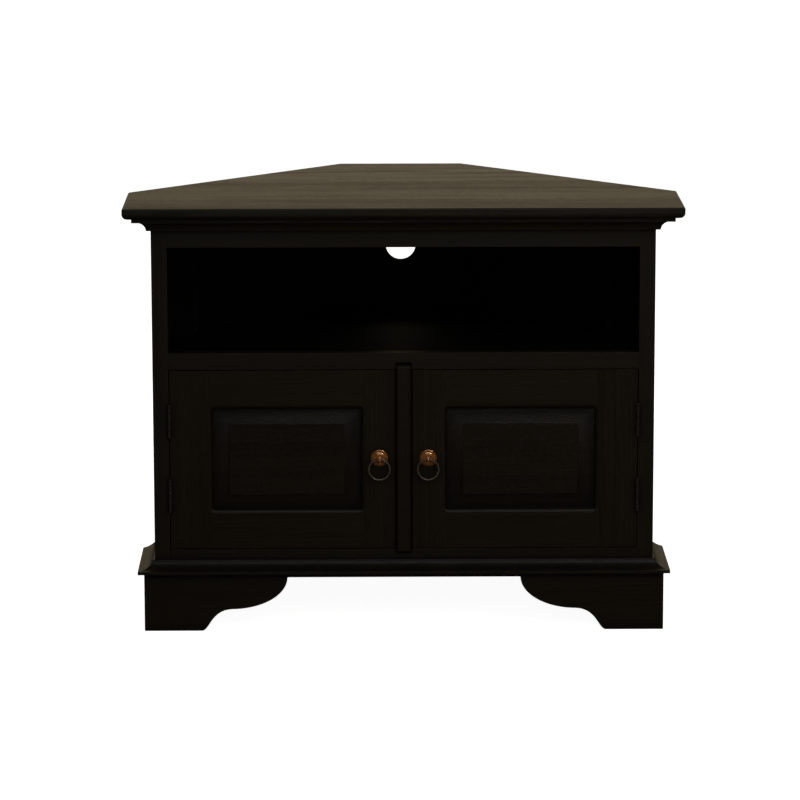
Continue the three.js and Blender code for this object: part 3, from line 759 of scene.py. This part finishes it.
low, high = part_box("plinth_front")
run = foot_inner_x - knee_x
toe = bezier(
    (foot_inner_x, 0), (foot_inner_x - run * 0.26, knee_z * 0.05),
    (foot_inner_x - run * 0.3, knee_z * 0.95), (knee_x, knee_z),
)
wing = arc(knee_x, apron_z, wing_run, apron_z - knee_z, 270, 180)
half = [(plinth_half, high.z), (plinth_half, 0), *toe, *wing[1:]]
outline = half + [(-x, z) for x, z in reversed(half)]
apron = cut_out("scrolled_apron", outline, high.y - low.y)
stand(apron, sideways, up, (0, (low.y + high.y) / 2, 0))
saw(apron, (plinth_half, low.y, 0), (1, 1, 0))
saw(apron, (-plinth_half, low.y, 0), (-1, 1, 0))
# Only faint painted shade here, so the feet don't darken where they meet the floor
apron_wood = stained("apron wood", (0.0125, 0.0085, 0.0033), (0.0245, 0.0168, 0.0068), shade_steepness=1.2)
fit_wood(apron, 0.0009, sideways, forward, apron_wood, "plinth_front")
for hand, way in hands.items():
    side_low, side_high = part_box(f"plinth_side_{hand}")
    side = board(f"plinth_return_{hand}", side_low, side_high)
    saw(side, (way * plinth_half, low.y + mitre_gap, 0), (-way, -1, 0))
    saw(side, (way * outer_wall_line, 0, 0), (way, 1, 0))
    fit_wood(side, 0.0009, backward, (way, 0, 0), dark_wood, f"plinth_side_{hand}")

    wall_low, wall_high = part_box(f"plinth_angled_{hand}")
    wall = board(f"plinth_wall_board_{hand}", wall_low, wall_high)
    saw(wall, (way * outer_wall_line, 0, 0), (way, 1, 0))
    inner_face_x = outer_wall_line - plinth_thickness * sqrt(2)
    saw(wall, (way * inner_face_x, 0, 0), (-way, -1, 0))
    fit_wood(
        wall, 0.0008, (way, -1, 0), (way, 1, 0), inner_wood, f"plinth_angled_{hand}", "inner_wood",
    )

    block_low, block_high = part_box(f"corner_block_{hand}")
    block = board(f"glue_block_{hand}", block_low, block_high)
    fit_wood(block, 0.0015, up, backward, inner_wood, f"corner_block_{hand}", "inner_wood")

low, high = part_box("plinth_back")
wall = board("plinth_back_board", low, high)
saw(wall, (outer_wall_line, 0, 0), (1, 1, 0))
saw(wall, (-outer_wall_line, 0, 0), (-1, 1, 0))
fit_wood(wall, 0.0008, sideways, backward, inner_wood, "plinth_back", "inner_wood")
# Painted shade that reaches far and deepens steeply darkens the moulding's lower hollow
plinth_wood = stained(
    "plinth wood", (0.0125, 0.0093, 0.0043), (0.025, 0.0187, 0.009),
    reach=0.06, shade_steepness=4, gloss=0.45,
)
add_moulding("plinth_moulding", plinth_section, plinth_top_z, plinth_wood)

# Doors: stiles run full height with rails between them, rounded over round the opening. The raised
# panel floats in a groove and is fielded with a broad bevel.
door_thickness = 0.020
opening_left = 0.076
opening_right = 0.3455
opening_low = 0.220
opening_high = 0.4065
opening_corner = 0.005
door_left = 0.016
door_right = 0.4215
door_low = 0.149
door_high = 0.4765
door_back_y = body_front_y + door_thickness
round_width = 0.007
round_depth = 0.005
groove_front = body_front_y + 0.0087
groove_back = body_front_y + 0.0143
tongue = 0.008
# Steep painted shade darkens the panels' bevels and the channel round them; the colour is a little
# darker than the door wood's
panel_wood = stained(
    "panel wood", (0.0105, 0.0067, 0.0022), (0.0215, 0.014, 0.0052),
    dullness=0.32, plank_width=0.1, spacing=0.007, shade_steepness=5, gloss=0.9,
)
door_wood = stained("door wood", (0.0125, 0.0078, 0.0026), (0.026, 0.016, 0.0056))


def door_frame():
    """The right door's four members as one, with the opening rounded over and grooved."""
    leaf = board("door", (door_left, body_front_y, door_low), (door_right, door_back_y, door_high))
    opening = board(
        "opening", (opening_left, body_front_y - spare, opening_low),
        (opening_right, door_back_y + spare, opening_high),
    )
    round_over(
        opening, lambda a, b: abs(a.x - b.x) < same_place and abs(a.z - b.z) < same_place,
        opening_corner, 6,
    )
    carve(leaf, opening)

    # The round is wider than it is deep, so it is cut on a door that is stretched in depth
    squeeze = round_width / round_depth
    leaf.scale.y = squeeze
    settle(leaf)
    face_y = body_front_y * squeeze

    def opening_rim(a, b):
        front = max(a.y, b.y) < face_y + same_place
        inside = all(
            door_left + spare < p.x < door_right - spare
            and door_low + spare < p.z < door_high - spare
            for p in (a, b)
        )
        return front and inside

    round_over(leaf, opening_rim, round_width, 8)
    leaf.scale.y = 1 / squeeze
    settle(leaf)
    deep = tongue + clearance
    carve(leaf, board(
        "groove", (opening_left - deep, groove_front, opening_low - deep),
        (opening_right + deep, groove_back, opening_high + deep),
    ))
    return leaf


def twin(piece, name):
    """A copy with its own mesh."""
    copy = piece.copy()
    copy.data = piece.data.copy()
    copy.name = name
    bpy.context.collection.objects.link(copy)
    return copy


def both_hands(piece):
    """The right-hand piece, and a mirrored copy of it for the left."""
    copy = twin(piece, piece.name.replace("right", "left"))
    copy.scale.x = -1
    settle(copy)
    shape(copy)
    bpy.ops.mesh.normals_make_consistent(inside=False)
    close()
    return ("right", piece), ("left", copy)


whole = door_frame()
rail_cut = 0.02
between_stiles = [((opening_right, 0, 0), (1, 0, 0)), ((opening_left, 0, 0), (-1, 0, 0))]
members = {
    "outer_stile": [((opening_right, 0, 0), (-1, 0, 0))],
    "inner_stile": [((opening_left, 0, 0), (1, 0, 0))],
    "top_rail": [*between_stiles, ((0, 0, opening_high - rail_cut), (0, 0, -1))],
    "bottom_rail": [*between_stiles, ((0, 0, opening_low + rail_cut), (0, 0, 1))],
}
for member, cuts in members.items():
    made = twin(whole, f"{member}_right")
    for point, away in cuts:
        saw(made, point, away)
    if member == "outer_stile":
        edge_x = door_right - mortise_depth
        for z in hinge_heights:
            near = (edge_x, body_front_y - spare, z - mortise_height / 2)
            far = (edge_x + 0.02, body_front_y + mortise_reach, z + mortise_height / 2)
            carve(made, board("hinge_bed", near, far))
    for hand, piece in both_hands(made):
        fit_wood(
            piece, 0.0006, up if "stile" in member else sideways, forward, door_wood,
            f"door_{member}_{hand}", body=f"{hand}_door",
        )
bpy.data.objects.remove(whole, do_unlink=True)

# The panel: a tongue all round, then a margin, a broad bevel and a small step up to the field
tongue_face = body_front_y + 0.009
panel_back = body_front_y + 0.014
margin = 0.0075
field_across = 0.031
field_up = 0.028
bevel_rise = 0.0055
field_step = 0.001
made = board(
    "raised_panel_right", (opening_left - tongue, tongue_face, opening_low - tongue),
    (opening_right + tongue, panel_back, opening_high + tongue),
)
pick(made, "FACE", lambda *corners: max(p.y for p in corners) < tongue_face + 0.0001)
bpy.ops.mesh.inset(thickness=tongue + margin, depth=0)
bpy.ops.mesh.extrude_region_move(TRANSFORM_OT_translate={"value": (0, -bevel_rise, 0)})
opening_width = opening_right - opening_left
opening_height = opening_high - opening_low
narrowed = (opening_width - 2 * field_across) / (opening_width - 2 * margin)
lowered = (opening_height - 2 * field_up) / (opening_height - 2 * margin)
bpy.ops.transform.resize(value=(narrowed, 1, lowered))
bpy.ops.mesh.extrude_region_move(TRANSFORM_OT_translate={"value": (0, -field_step, 0)})
close()
for hand, piece in both_hands(made):
    fit_wood(
        piece, 0.0003, sideways, forward, panel_wood, f"door_panel_{hand}", "panel_wood",
        f"{hand}_door",
    )


# Ring pulls: a spun brass rose with a copper-brown lacquer, a turned post with a ball end that is
# screwed through it, and a wire ring that hangs in the post's hole.
def turned(name, profile, place, sides):
    """A piece turned on a lathe from a profile of radius and distance out of the door."""
    draw(name, [(radius, -out) for radius, out in profile], closed=False)
    bpy.ops.object.convert(target="MESH")
    piece = bpy.context.object
    piece.location = place
    settle(piece)
    shape(piece)
    bpy.ops.mesh.spin(steps=sides, angle=2 * pi, center=place, axis=(0, 1, 0))
    bpy.ops.mesh.select_all(action="SELECT")
    bpy.ops.mesh.remove_doubles(threshold=2e-6)
    bpy.ops.mesh.normals_make_consistent(inside=False)
    close()
    return piece


tarnish, given, result = new_group(
    "handled metal",
    [
        ("Bright", "Color", (0.6, 0.3, 0.15, 1)), ("Dull", "Color", (0.1, 0.05, 0.03, 1)),
        ("Hollows", "Float", 0), ("Grain Size", "Float", 400),
    ],
    [("Color", "Color"), ("Roughness", "Float"), ("Relief", "Float")],
)
place = tarnish.nodes.new("ShaderNodeTexCoord").outputs["Object"]
cloud = noise(tarnish, place, 130, 4)
speck = noise(tarnish, place, given["Grain Size"], 3, 0.7)
dark = how_far(tarnish, cloud, 0.42, 0.66)
dark = reckon(tarnish, "MAXIMUM", reckon(tarnish, "MULTIPLY", dark, 0.55), given["Hollows"])
tarnish.links.new(mixed(tarnish, dark, given["Bright"], given["Dull"]), result["Color"])
tarnish.links.new(
    reckon(
        tarnish, "ADD",
        reckon(tarnish, "MULTIPLY", dark, 0.3), reckon(tarnish, "MULTIPLY", speck, 0.35),
    ),
    result["Roughness"],
)
tarnish.links.new(speck, result["Relief"])


def handled(name, bright, dull, grain_size, reach, relief, bare, lacquer=0):
    """Old metal: bright where hands rub it, dull in its hollows, bare of its patina by a share."""
    metal, tree, coat = new_material(name)
    coat.inputs["Metallic"].default_value = bare
    coat.inputs["Coat Weight"].default_value = lacquer
    coat.inputs["Coat Roughness"].default_value = 0.12
    coat.inputs["Coat IOR"].default_value = 2.5
    open_air = wire(tree, "AmbientOcclusion", {"samples": 8}, {"Distance": reach}).outputs["AO"]
    hollow = how_far(tree, open_air, 0.75, 0.25)
    skin = wire(tree, "Group", {"node_tree": tarnish}, {
        "Bright": (*bright, 1), "Dull": (*dull, 1), "Hollows": hollow, "Grain Size": grain_size,
    }).outputs
    tree.links.new(skin["Color"], coat.inputs["Base Color"])
    tree.links.new(skin["Roughness"], coat.inputs["Roughness"])
    emboss(tree, coat, skin["Relief"], relief)
    return metal


pull_metal = handled(
    "copper brown pull", (0.95, 0.34, 0.06), (0.42, 0.085, 0.006), 500, 0.005, 0.2, 0.6, lacquer=1,
)
ring_metal = handled(
    "worn brass ring", (0.31, 0.24, 0.18), (0.1, 0.075, 0.055), 700, 0.003, 0.3, 0.6,
)
face = Vector((0.044, body_front_y, 0.315))
rose_radius = 0.0155
rose_height = 0.0072
rose_bore = 0.0028
rim_height = 0.0016
crown_radius = 0.0052
crown_run = 0.0091
dome = [
    (rose_bore, 0), (rose_radius - 0.0003, 0), (rose_radius, 0.0003), (rose_radius, 0.001),
    (rose_radius - 0.0004, 0.0014), (rose_radius - 0.0012, rim_height),
    *[
        (crown_radius + crown_run * cos(t), rim_height + (rose_height - rim_height) * sin(t))
        for t in np.linspace(0.12, pi / 2, 20)
    ],
    (0.0050, rose_height), (rose_bore, rose_height - 0.0004), (rose_bore, 0),
]
rose = turned("pull_rose_right", dome, face, 72)

shank_end = -0.012
shank_radius = 0.0025
collar_radius = 0.0046
collar_end = rose_height + 0.0086
neck_radius = 0.0024
ball_radius = 0.0036
ball_rise = sqrt(ball_radius ** 2 - neck_radius ** 2)
ball_centre = collar_end + ball_rise
stem = [
    (0, shank_end), (shank_radius - 0.0003, shank_end), (shank_radius, shank_end + 0.0003),
    (shank_radius, rose_height), (collar_radius - 0.0002, rose_height),
    (collar_radius, rose_height + 0.0002), (collar_radius, collar_end - 0.0014),
    (collar_radius - 0.0002, collar_end - 0.0011), (0.0030, collar_end - 0.0008),
    (neck_radius, collar_end),
    *[
        (ball_radius * sin(t), ball_centre - ball_radius * cos(t))
        for t in np.linspace(atan2(neck_radius, ball_rise), pi, 18)[1:-1]
    ],
    (0, ball_centre + ball_radius),
]
post = turned("pull_post_right", stem, face, 48)
ring_hole_radius = 0.003
ring_hole = face + Vector((0, -0.0115, 0))
carve(post, rod("ring_hole", ring_hole, sideways, ring_hole_radius, 0.03))

ring_radius = 0.0189
ring_wire = 0.0016
bpy.ops.object.select_all(action="DESELECT")
bpy.ops.mesh.primitive_torus_add(
    major_segments=112, minor_segments=20, major_radius=ring_radius, minor_radius=ring_wire,
    location=ring_hole + Vector((0, 0, -ring_radius)), rotation=(pi / 2, 0, 0),
)
ring = bpy.context.object
ring.name = "pull_ring_wire_right"
settle(ring)
for made, body, finish, metal, node in (
    (rose, "door", "pull_metal", pull_metal, "rose"),
    (post, "door", "pull_metal", pull_metal, "ring_post"),
    (ring, "ring", "ring_metal", ring_metal, "pull_ring"),
):
    for hand, piece in both_hands(made):
        fit(piece, f"{hand}_{body}", finish, metal, f"{node}_{hand}")

# Butt hinges: bronzed brass leaves with knuckles round a fixed pin, let into stile and door edge.
# Three countersunk brass screws hold each leaf.
hinge_metal = handled(
    "bronzed hinge", (0.15, 0.125, 0.1), (0.035, 0.028, 0.02), 600, 0.003, 0.3, 0.75,
)
screw_metal = handled(
    "brass screw", (0.34, 0.26, 0.15), (0.07, 0.05, 0.03), 900, 0.002, 0.3, 0.8,
)
hinge_x = 0.42225
hinge_y = -0.2518
leaf_gap = 0.0003
leaf_thickness = 0.0015
leaf_width = 0.024
barrel_radius = 0.003
knuckles = 5
knuckle = 0.012
neck_reach = 0.0018
pin_radius = 0.0012
pin_head_radius = 0.0023
pin_head_height = 0.0015
bore_radius = 0.0018
screw_spacing = 0.02
screw_radius = 0.0025
screw_depth = 0.0012


def weld(first, *others):
    """Joins pieces into one where they touch."""
    for other in others:
        work(first, "BOOLEAN", operation="UNION", object=other, solver="EXACT")
        bpy.data.objects.remove(other, do_unlink=True)
    return first


def screw_place(x, z, step):
    """Where a leaf's screw stands: the middle one is further in than the other two."""
    return Vector((x, body_front_y + (0.013 if step else 0.016), z + step * screw_spacing))


def hinge_leaf(name, z, way, first):
    """The frame's leaf (way 1) or the door's (way -1). It has every second knuckle."""
    inner = hinge_x + way * leaf_gap / 2
    outer = inner + way * leaf_thickness
    near_x, far_x = min(inner, outer), max(inner, outer)
    half_height = knuckles / 2 * knuckle
    bottom = z - half_height
    plate = board(
        name, (near_x, body_front_y, bottom),
        (far_x, body_front_y + leaf_width, bottom + knuckles * knuckle),
    )
    parts = []
    for i in range(first, knuckles, 2):
        low_z = bottom + i * knuckle + (leaf_gap / 2 if i > 0 else 0)
        high_z = bottom + (i + 1) * knuckle - (leaf_gap / 2 if i < knuckles - 1 else 0)
        centre = (hinge_x, hinge_y, (low_z + high_z) / 2)
        roll = rod("knuckle", centre, up, barrel_radius, high_z - low_z)
        ease(roll, 0.0003)
        far = (far_x, body_front_y + 0.001, high_z)
        neck = board("neck", (near_x, hinge_y + neck_reach, low_z), far)
        parts += [roll, neck]
    weld(plate, *parts)
    if way > 0:
        heads = []
        pin_length = knuckles * knuckle + 0.002
        pin = rod("pin", (hinge_x, hinge_y, z), up, pin_radius, pin_length)
        for end in (-1, 1):
            centre = (hinge_x, hinge_y, z + end * (half_height + pin_head_height / 2))
            head = rod("pin_head", centre, up, pin_head_radius, pin_head_height, 32)
            ease(head, 0.0005, 3)
            heads.append(head)
        weld(plate, pin, *heads)
    else:
        carve(plate, rod("bore", (hinge_x, hinge_y, z), up, bore_radius, 0.08))
    for step in (-1, 0, 1):
        place = screw_place(hinge_x, z, step)
        carve(plate, rod("screw_hole", place, sideways, screw_radius + 0.0001, 0.02, 32))
    return plate


def cross_screw(name, place, axis, radius, depth):
    """A countersunk screw head with a cross slot, flush with what it holds."""
    place = Vector(place)
    axis = Vector(axis)
    head = rod(name, place - axis * depth / 2, axis, radius, depth, 32)
    ease(head, radius * 0.12)
    side = Vector((0, 0, 1)) if abs(axis.z) < 0.5 else Vector((1, 0, 0))
    for along in (side, axis.cross(side)):
        half = Vector([abs(v) for v in along]) * radius * 0.62
        half += Vector([abs(v) for v in axis]) * depth * 0.5
        half += Vector([abs(v) for v in axis.cross(along)]) * radius * 0.13
        carve(head, board("slot", place - half, place + half))
    return head


for level, z in zip(("lower", "upper"), hinge_heights):
    for kind, way, first in (("frame", 1, 0), ("door", -1, 1)):
        leaf = hinge_leaf(f"{level}_leaf_{kind}_right", z, way, first)
        face_x = hinge_x + way * (leaf_gap / 2 + 0.0002)
        screws = [
            cross_screw(
                f"{level}_{kind}_screw_{step + 2}_right", screw_place(face_x, z, step),
                (-way, 0, 0), screw_radius, screw_depth,
            )
            for step in (-1, 0, 1)
        ]
        for made in (leaf, *screws):
            metal = hinge_metal if made is leaf else screw_metal
            for hand, piece in both_hands(made):
                body = "cabinet" if kind == "frame" else f"{hand}_door"
                nodes = [f"{level}_hinge_{kind}_{hand}"] if made is leaf else []
                fit(piece, body, "hinge_metal", metal, *nodes)

# Catches: a magnet between two steel plates in a moulded case, screwed up under the shelf, and a
# steel strike on the back of each door.
catch_plastic, tree, coat = new_material("brown catch case")
place = tree.nodes.new("ShaderNodeTexCoord").outputs["Object"]
fine = noise(tree, place, 900, 3)
ramp = wire(tree, "ValToRGB", {}, {"Fac": fine})
ramp.color_ramp.elements[0].color = (0.03, 0.018, 0.01, 1)
ramp.color_ramp.elements[1].color = (0.05, 0.032, 0.02, 1)
tree.links.new(ramp.outputs["Color"], coat.inputs["Base Color"])
rough = reckon(tree, "ADD", 0.35, reckon(tree, "MULTIPLY", fine, 0.2))
tree.links.new(rough, coat.inputs["Roughness"])
emboss(tree, coat, fine, 0.2)
steel = handled("zinc steel", (0.5, 0.5, 0.49), (0.16, 0.15, 0.14), 800, 0.003, 0.2, 0.9)

low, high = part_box("catch_right")
case = board("catch_case_right", low, high)
ear_half = 0.006
ear_thickness = 0.004
ear_screw_inset = 0.0055
bite_half = ear_half + 0.0001
for x in (low.x + ear_half, high.x - ear_half):
    near = (x - bite_half, low.y - spare, low.z - spare)
    carve(case, board("case_ear", near, (x + bite_half, high.y + spare, high.z - ear_thickness)))
ease(case, 0.0008)
middle_x = (low.x + high.x) / 2
plate_offset = 0.0095
plate_half = 0.00075
plates = []
for end, way in (("a", -1), ("b", 1)):
    x = middle_x + way * plate_offset
    plate = board(
        f"catch_plate_{end}_right", (x - plate_half, low.y - 0.0003, low.z + 0.003),
        (x + plate_half, high.y - 0.003, high.z - 0.006),
    )
    ease(plate, 0.0003)
    plates.append(plate)
ears = [
    cross_screw(
        f"catch_screw_{end}_right", (x, (low.y + high.y) / 2, high.z - ear_thickness - 0.0002),
        (0, 0, -1), 0.0026, 0.0015,
    )
    for end, x in (("a", low.x + ear_screw_inset), ("b", high.x - ear_screw_inset))
]
low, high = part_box("strike_right")
strike = board("strike_plate_right", low, high)
strike_face = Vector(((low.x + high.x) / 2, high.y, (low.z + high.z) / 2))
carve(strike, rod("strike_hole", strike_face, backward, 0.0028, 0.01, 32))
ease(strike, 0.0004)
strike_screw = cross_screw(
    "strike_screw_right", strike_face + Vector((0, 0.0001, 0)), backward, 0.0027, 0.0012,
)
for made, on_door, metal, node in (
    (case, False, catch_plastic, "catch"),
    *[(plate, False, steel, "") for plate in plates],
    *[(ear, False, screw_metal, "") for ear in ears],
    (strike, True, steel, "strike"),
    (strike_screw, True, screw_metal, ""),
):
    for hand, piece in both_hands(made):
        body = f"{hand}_door" if on_door else "cabinet"
        fit(piece, body, "catch_metal", metal, *([f"{node}_{hand}"] if node else []))
